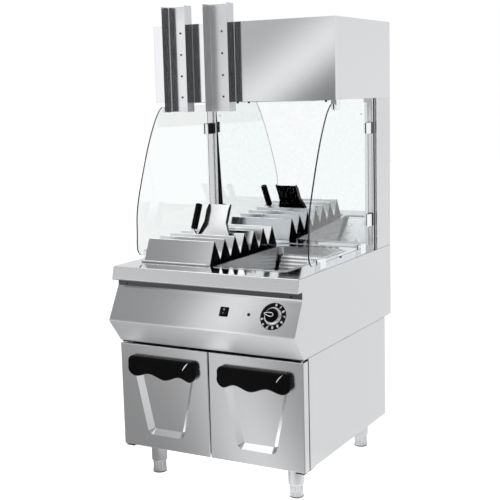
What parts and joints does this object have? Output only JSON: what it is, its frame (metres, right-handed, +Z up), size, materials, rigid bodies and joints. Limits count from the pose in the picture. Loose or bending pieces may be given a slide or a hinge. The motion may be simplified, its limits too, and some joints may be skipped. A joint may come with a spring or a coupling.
{
  "type": "fry warmer",
  "caption": "Floor-standing heated holding unit with a warm pan, zigzag carton rack, curved side glasses, heated hood, carton channels, and a cabinet with hinged doors on levelling feet.",
  "frame": {"origin": "middle of the bounding box's footprint, on the floor", "axes": "+X to the user's right, +Y away from the user towards the back, +Z up"},
  "size_m": [0.8, 0.9244, 1.852],
  "materials": {
    "brushed_steel": "brushed stainless steel",
    "hood_steel": "bright-rolled stainless steel",
    "dark_steel": "stainless steel in shadow",
    "mirror_steel": "mirror-polished steel",
    "bright_steel": "turned or zinc-bright steel",
    "chrome": "polished",
    "side_glass": "clear toughened glass",
    "black_grip": "glossy black moulding",
    "black_plastic": "black moulding",
    "dial_print": "black numeral ring with white marks",
    "soft_seal": "black rubber",
    "red_lens": "dark red translucent lens",
    "quartz": "quartz tube with ceramic ends"
  },
  "bodies": {
    "frame": {"cabinet_sides": "brushed_steel", "cabinet_back": "brushed_steel", "cabinet_floor": "brushed_steel", "cabinet_top": "brushed_steel", "front_rail": "brushed_steel", "worktop": "brushed_steel", "control_panel": "brushed_steel", "casing_ends": "brushed_steel", "casing_back": "brushed_steel", "casing_floor": "brushed_steel", "posts": "brushed_steel", "post_backs": "brushed_steel", "hood_base": "brushed_steel", "hood_back": "brushed_steel", "dispensers": "brushed_steel", "well_tank": "brushed_steel", "leg_sleeves": "brushed_steel", "hood_shell": "hood_steel", "recess_strip": "dark_steel", "hinge_brackets": "dark_steel", "back_panel": "mirror_steel", "heater_reflector": "mirror_steel", "hinge_pins": "bright_steel", "screws": "bright_steel", "well_heater": "bright_steel", "heater_guard": "bright_steel", "glass_clips": "chrome", "side_glass_left": "side_glass", "side_glass_right": "side_glass", "switch_bezel": "black_plastic", "hood_studs": "black_plastic", "door_catches": "black_plastic", "cable_gland": "black_plastic", "thermostat": "black_plastic", "dial_plate": "dial_print", "door_gasket_left": "soft_seal", "door_gasket_right": "soft_seal", "clip_pads": "soft_seal", "pilot_light": "red_lens", "quartz_heaters": "quartz"},
    "door_left": {"door_skin_left": "brushed_steel", "door_liner_left": "brushed_steel", "door_grip_left": "black_grip"},
    "door_right": {"door_skin_right": "brushed_steel", "door_liner_right": "brushed_steel", "door_grip_right": "black_grip"},
    "foot_front_left": {"foot_front_left": "bright_steel"},
    "foot_front_right": {"foot_front_right": "bright_steel"},
    "foot_back_left": {"foot_back_left": "bright_steel"},
    "foot_back_right": {"foot_back_right": "bright_steel"},
    "thermostat_knob": {"knob": "black_grip", "knob_ring": "bright_steel"},
    "rocker": {"switch_rocker": "black_plastic"},
    "rack": {"carton_rack": "brushed_steel", "rack_rod": "brushed_steel"},
    "pan": {"pan": "brushed_steel"},
    "insert": {"pan_insert": "brushed_steel"},
    "scoop": {"scoop_blade": "brushed_steel", "scoop_handle": "black_grip"}
  },
  "joints": [
    {"name": "left_door_hinge", "type": "hinge", "parent": "frame", "child": "door_left", "pos_m": [-0.388, -0.3818, 0.344], "axis": [0, 0, -1], "range_deg": [0, 110]},
    {"name": "right_door_hinge", "type": "hinge", "parent": "frame", "child": "door_right", "pos_m": [0.388, -0.3818, 0.344], "axis": [0, 0, 1], "range_deg": [0, 110]},
    {"name": "thermostat_turn", "type": "hinge", "parent": "frame", "child": "thermostat_knob", "pos_m": [0.298, -0.42529, 0.72086], "axis": [0, 0.8734, -0.487], "range_deg": [0, 270]},
    {"name": "switch_rock", "type": "hinge", "parent": "frame", "child": "rocker", "pos_m": [0.0955, -0.42504, 0.7213], "axis": [1, 0, 0], "range_deg": [0, 18]},
    {"name": "foot_front_left_screw", "type": "slide", "parent": "frame", "child": "foot_front_left", "axis": [0, 0, -1], "range_m": [0, 0.03]},
    {"name": "foot_front_right_screw", "type": "slide", "parent": "frame", "child": "foot_front_right", "axis": [0, 0, -1], "range_m": [0, 0.03]},
    {"name": "foot_back_left_screw", "type": "slide", "parent": "frame", "child": "foot_back_left", "axis": [0, 0, -1], "range_m": [0, 0.03]},
    {"name": "foot_back_right_screw", "type": "slide", "parent": "frame", "child": "foot_back_right", "axis": [0, 0, -1], "range_m": [0, 0.03]},
    {"name": "rack_lift", "type": "slide", "parent": "frame", "child": "rack", "axis": [0, 0, 1], "range_m": [0, 0.2]},
    {"name": "pan_lift", "type": "slide", "parent": "frame", "child": "pan", "axis": [0, 0, 1], "range_m": [0, 0.25]},
    {"name": "insert_lift", "type": "slide", "parent": "pan", "child": "insert", "axis": [0, 0, 1], "range_m": [0, 0.2]},
    {"name": "scoop_lift", "type": "slide", "parent": "rack", "child": "scoop", "axis": [0, 0.4258, 0.9048], "range_m": [0, 0.2]}
  ]
}
